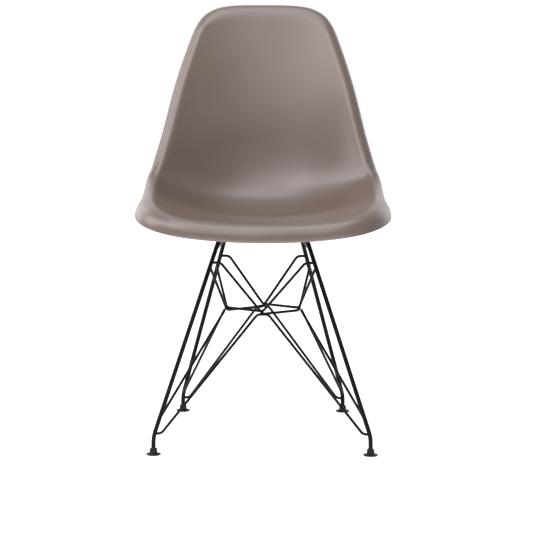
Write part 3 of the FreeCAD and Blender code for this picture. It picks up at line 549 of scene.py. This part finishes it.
# %% A piece from a bmesh
def piece_from(name, work, finish, body=CHAIR):
    """Makes the finished mesh a piece of the chair that rides on a body."""
    mesh = bpy.data.meshes.new(name)
    work.to_mesh(mesh)
    work.free()
    for polygon in mesh.polygons:
        polygon.use_smooth = True
    mesh.materials.append(finish)
    piece = bpy.data.objects.new(name, mesh)
    scene.collection.objects.link(piece)
    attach(piece, body)
    return piece


# %% The shell and its wall
SUBDIVISIONS = 2

seat_surface = BVHTree.FromBMesh(sheet)
shell = piece_from("moulded_shell", sheet, shell_plastic)
wall = shell.modifiers.new("wall", "SOLIDIFY")
wall.thickness = WALL
wall.offset = -1.0
wall.use_even_offset = True
wall.use_quality_normals = True
rounding = shell.modifiers.new("subdivision", "SUBSURF")
rounding.levels = SUBDIVISIONS
rounding.render_levels = SUBDIVISIONS
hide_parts("seat_shell")
print("the shell's sheet has", len(shell.data.polygons), "faces")

# %% [markdown]
# ## The bosses
#
# Four round bosses are moulded on under the seat. Each holds a brass insert for a
# bolt and stands on a rubber pad. A boss is turned, so half of its section is spun
# round its middle: bore, bottom, side, and a flare where it grows out of the wall.
# Its top ends inside the wall, so that no gap shows.

# %% Bosses under the seat
BOSS_RADIUS = 10.0 * MM
BORE_RADIUS = 4.5 * MM
BORE_DEPTH = 9.0 * MM
BOSS_EDGE = 0.8 * MM
# The middle of the rounded edge, as a share of it from both its sides.
EDGE_MIDDLE = 0.3
# How far out of the boss's side, and how far under its top, in millimetres.
FLARE = ((0.0, 4.6), (0.3, 3.1), (1.2, 1.9), (2.8, 1.3), (3.2, 0.0))
IN_THE_WALL = 1.8 * MM
BOSS_STEPS = 40
SHARP_EDGE = math.radians(50)


def boss_section(middle, foot, top):
    """Half of a boss's section, from the end of its bore round to its top."""
    across_and_up = [(0.0, foot + BORE_DEPTH), (BORE_RADIUS, foot + BORE_DEPTH),
                     (BORE_RADIUS, foot), (BOSS_RADIUS - BOSS_EDGE, foot),
                     (BOSS_RADIUS - BOSS_EDGE * EDGE_MIDDLE,
                      foot + BOSS_EDGE * EDGE_MIDDLE),
                     (BOSS_RADIUS, foot + BOSS_EDGE)]
    across_and_up += [(BOSS_RADIUS + out * MM, top - down * MM) for out, down in FLARE]
    across_and_up += [(0.0, top)]
    return [middle + Vector((across, 0.0, up)) for across, up in across_and_up]


bosses = bmesh.new()
for pad in sorted(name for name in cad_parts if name.startswith("rubber_pad")):
    low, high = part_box(pad)
    middle = Vector(((low[0] + high[0]) / 2, (low[1] + high[1]) / 2, 0.0))
    over_seat = middle + Vector((0.0, 0.0, 1.0))
    seat_top = seat_surface.ray_cast(over_seat, Vector((0.0, 0.0, -1.0)))[0].z
    section = boss_section(middle, high[2], seat_top - IN_THE_WALL)
    points = [bosses.verts.new(place) for place in section]
    lines = [bosses.edges.new(pair) for pair in zip(points, points[1:])]
    bmesh.ops.spin(bosses, geom=points + lines, cent=middle, axis=(0.0, 0.0, 1.0),
                   angle=math.tau, steps=BOSS_STEPS, use_merge=True)
    print("from", pad, "up to the seat", round((seat_top - high[2]) * 1000, 1), "mm")
bmesh.ops.remove_doubles(bosses, verts=bosses.verts, dist=NUDGE)
bmesh.ops.recalc_face_normals(bosses, faces=bosses.faces)
for edge in bosses.edges:
    edge.smooth = edge.calc_face_angle(0.0) < SHARP_EDGE
piece_from("shell_bosses", bosses, shell_plastic)

# %% [markdown]
# ## The finish of the CAD pieces
#
# The rods, tabs, pads and bolts have the right shape already. Each takes the
# finish of its kind.

# %% Finish of the CAD pieces
FINISH_OF = {
    "leg": tower_paint, "cross_bar": tower_paint, "side_rail": tower_paint,
    "upper_brace": tower_paint, "lower_brace": tower_paint, "mounting_tab": tower_paint,
    "rubber_pad": pad_rubber, "threaded_inserts": insert_brass,
    "flat_washers": bolt_zinc, "spring_washers": bolt_zinc, "mounting_bolts": bolt_zinc,
    "glide": glide_nylon,
}
finished = []
for name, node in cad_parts.items():
    for kind, finish in FINISH_OF.items():
        if name.startswith(kind):
            node.data.materials.clear()
            node.data.materials.append(finish)
            finished.append(name)
print("the CAD pieces left as they are:", sorted(set(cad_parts) - set(finished)))

# %% [markdown]
# ## The studio
#
# Satin plastic shows the studio in its skin, so the shading of such a chair is made
# by large soft lamps. The strongest stand on the left of the picture, two high in
# front light the back, one hangs over the seat, and two low ones behind draw a bright
# line along the rims. A narrow strip just over the floor in front lifts the front
# edge of the seat, which turns down and away from all the others.
#
# The floor and the backdrop are white where the camera or a reflection meets them,
# and light the chair itself only a little. That keeps the picture's ground white
# while the left side of the shell stays darker than its middle.


# %% What sees the white
def seen_directly(tree):
    """A factor that is 1 for rays from the camera, off a gloss or through glass."""
    path = add_node(tree, "ShaderNodeLightPath")
    factor = path.outputs["Is Camera Ray"]
    for kind in ("Is Glossy Ray", "Is Transmission Ray"):
        either = add_node(tree, "ShaderNodeMath", operation="MAXIMUM")
        tree.links.new(factor, either.inputs[0])
        tree.links.new(path.outputs[kind], either.inputs[1])
        factor = either.outputs["Value"]
    return factor


# %% Floor
FLOOR_SIDE = 60.0
FLOOR_GREY = 0.85
FLOOR_ROUGH = 0.9
FLOOR_GLOW = 0.85
WHITE = (1.0, 1.0, 1.0, 1.0)

floor_work = bmesh.new()
bmesh.ops.create_grid(floor_work, x_segments=1, y_segments=1, size=FLOOR_SIDE / 2)
floor_mesh = bpy.data.meshes.new("floor")
floor_work.to_mesh(floor_mesh)
floor_work.free()
floor = bpy.data.objects.new("floor", floor_mesh)
scene.collection.objects.link(floor)

floor_white, tree, shader = new_finish("floor_white")
shader.inputs["Base Color"].default_value = (FLOOR_GREY, FLOOR_GREY, FLOOR_GREY, 1.0)
shader.inputs["Roughness"].default_value = FLOOR_ROUGH
shader.inputs["Specular IOR Level"].default_value = 0.0
shader.inputs["Emission Color"].default_value = WHITE
glow = add_node(tree, "ShaderNodeMath", operation="MULTIPLY")
glow.inputs[1].default_value = FLOOR_GLOW
tree.links.new(seen_directly(tree), glow.inputs[0])
tree.links.new(glow.outputs["Value"], shader.inputs["Emission Strength"])
floor_mesh.materials.append(floor_white)
print("floor", FLOOR_SIDE, "m on a side")

# %% Backdrop
# A direction's Y runs from -1, towards the camera, to 1, behind the chair. The room
# is dark up to ROOM_END, and the backdrop has its full light from BACKDROP_START on.
ROOM_END, ROOM_LIGHT = -0.3, 0.02
BACKDROP_START, BACKDROP_LIGHT = 0.5, 0.42

world = bpy.data.worlds.new("backdrop")
scene.world = world
world.use_nodes = True
tree = world.node_tree
backdrop = tree.nodes["Background"]
backdrop.inputs["Color"].default_value = WHITE
direction = add_node(tree, "ShaderNodeTexCoord")
parts = add_node(tree, "ShaderNodeSeparateXYZ")
tree.links.new(direction.outputs["Generated"], parts.inputs["Vector"])
level = add_node(tree, "ShaderNodeMapRange", interpolation_type="SMOOTHSTEP")
level.inputs["From Min"].default_value = ROOM_END
level.inputs["From Max"].default_value = BACKDROP_START
level.inputs["To Min"].default_value = ROOM_LIGHT
level.inputs["To Max"].default_value = BACKDROP_LIGHT
tree.links.new(parts.outputs["Y"], level.inputs["Value"])
white = add_node(tree, "ShaderNodeMath", operation="MAXIMUM")
tree.links.new(seen_directly(tree), white.inputs[0])
tree.links.new(level.outputs["Result"], white.inputs[1])
tree.links.new(white.outputs["Value"], backdrop.inputs["Strength"])
print("backdrop", BACKDROP_LIGHT, "and room", ROOM_LIGHT)

# %% Lamps
CHEST = Vector((0.0, 0.0, 0.5))
# Name, turn and rise in degrees, distance, width and height in metres, watts.
LAMPS = (
    ("key_left", -50, 50, 2.8, 1.6, 1.6, 24),
    ("key_front", -15, 42, 2.8, 1.4, 1.4, 11.5),
    ("front_top", -15, 62, 2.6, 1.4, 1.4, 11.5),
    ("front_foot", 0, -17, 1.4, 1.6, 0.14, 6),
    ("side_left", -90, 31, 2.8, 1.8, 1.8, 34),
    ("top", 0, 88, 2.5, 1.4, 1.4, 16),
    ("rear_right", 140, 16, 3.0, 2.0, 2.0, 8),
    ("rear_left", -140, 16, 3.0, 2.0, 2.0, 12),
)


def lamp(name, turn, rise, away, wide, tall, power):
    """A soft lamp that faces the chair, turned from the front and raised."""
    flat = math.cos(math.radians(rise))
    place = CHEST + away * Vector((math.sin(math.radians(turn)) * flat,
                                   -math.cos(math.radians(turn)) * flat,
                                   math.sin(math.radians(rise))))
    data = bpy.data.lights.new(name, "AREA")
    data.shape = "RECTANGLE"
    data.size = wide
    data.size_y = tall
    data.energy = power
    thing = bpy.data.objects.new(name, data)
    thing.location = place
    thing.rotation_euler = (CHEST - place).to_track_quat("-Z", "Y").to_euler()
    scene.collection.objects.link(thing)


for settings in LAMPS:
    lamp(*settings)
print(len(LAMPS), "lamps,", sum(settings[-1] for settings in LAMPS), "W together")
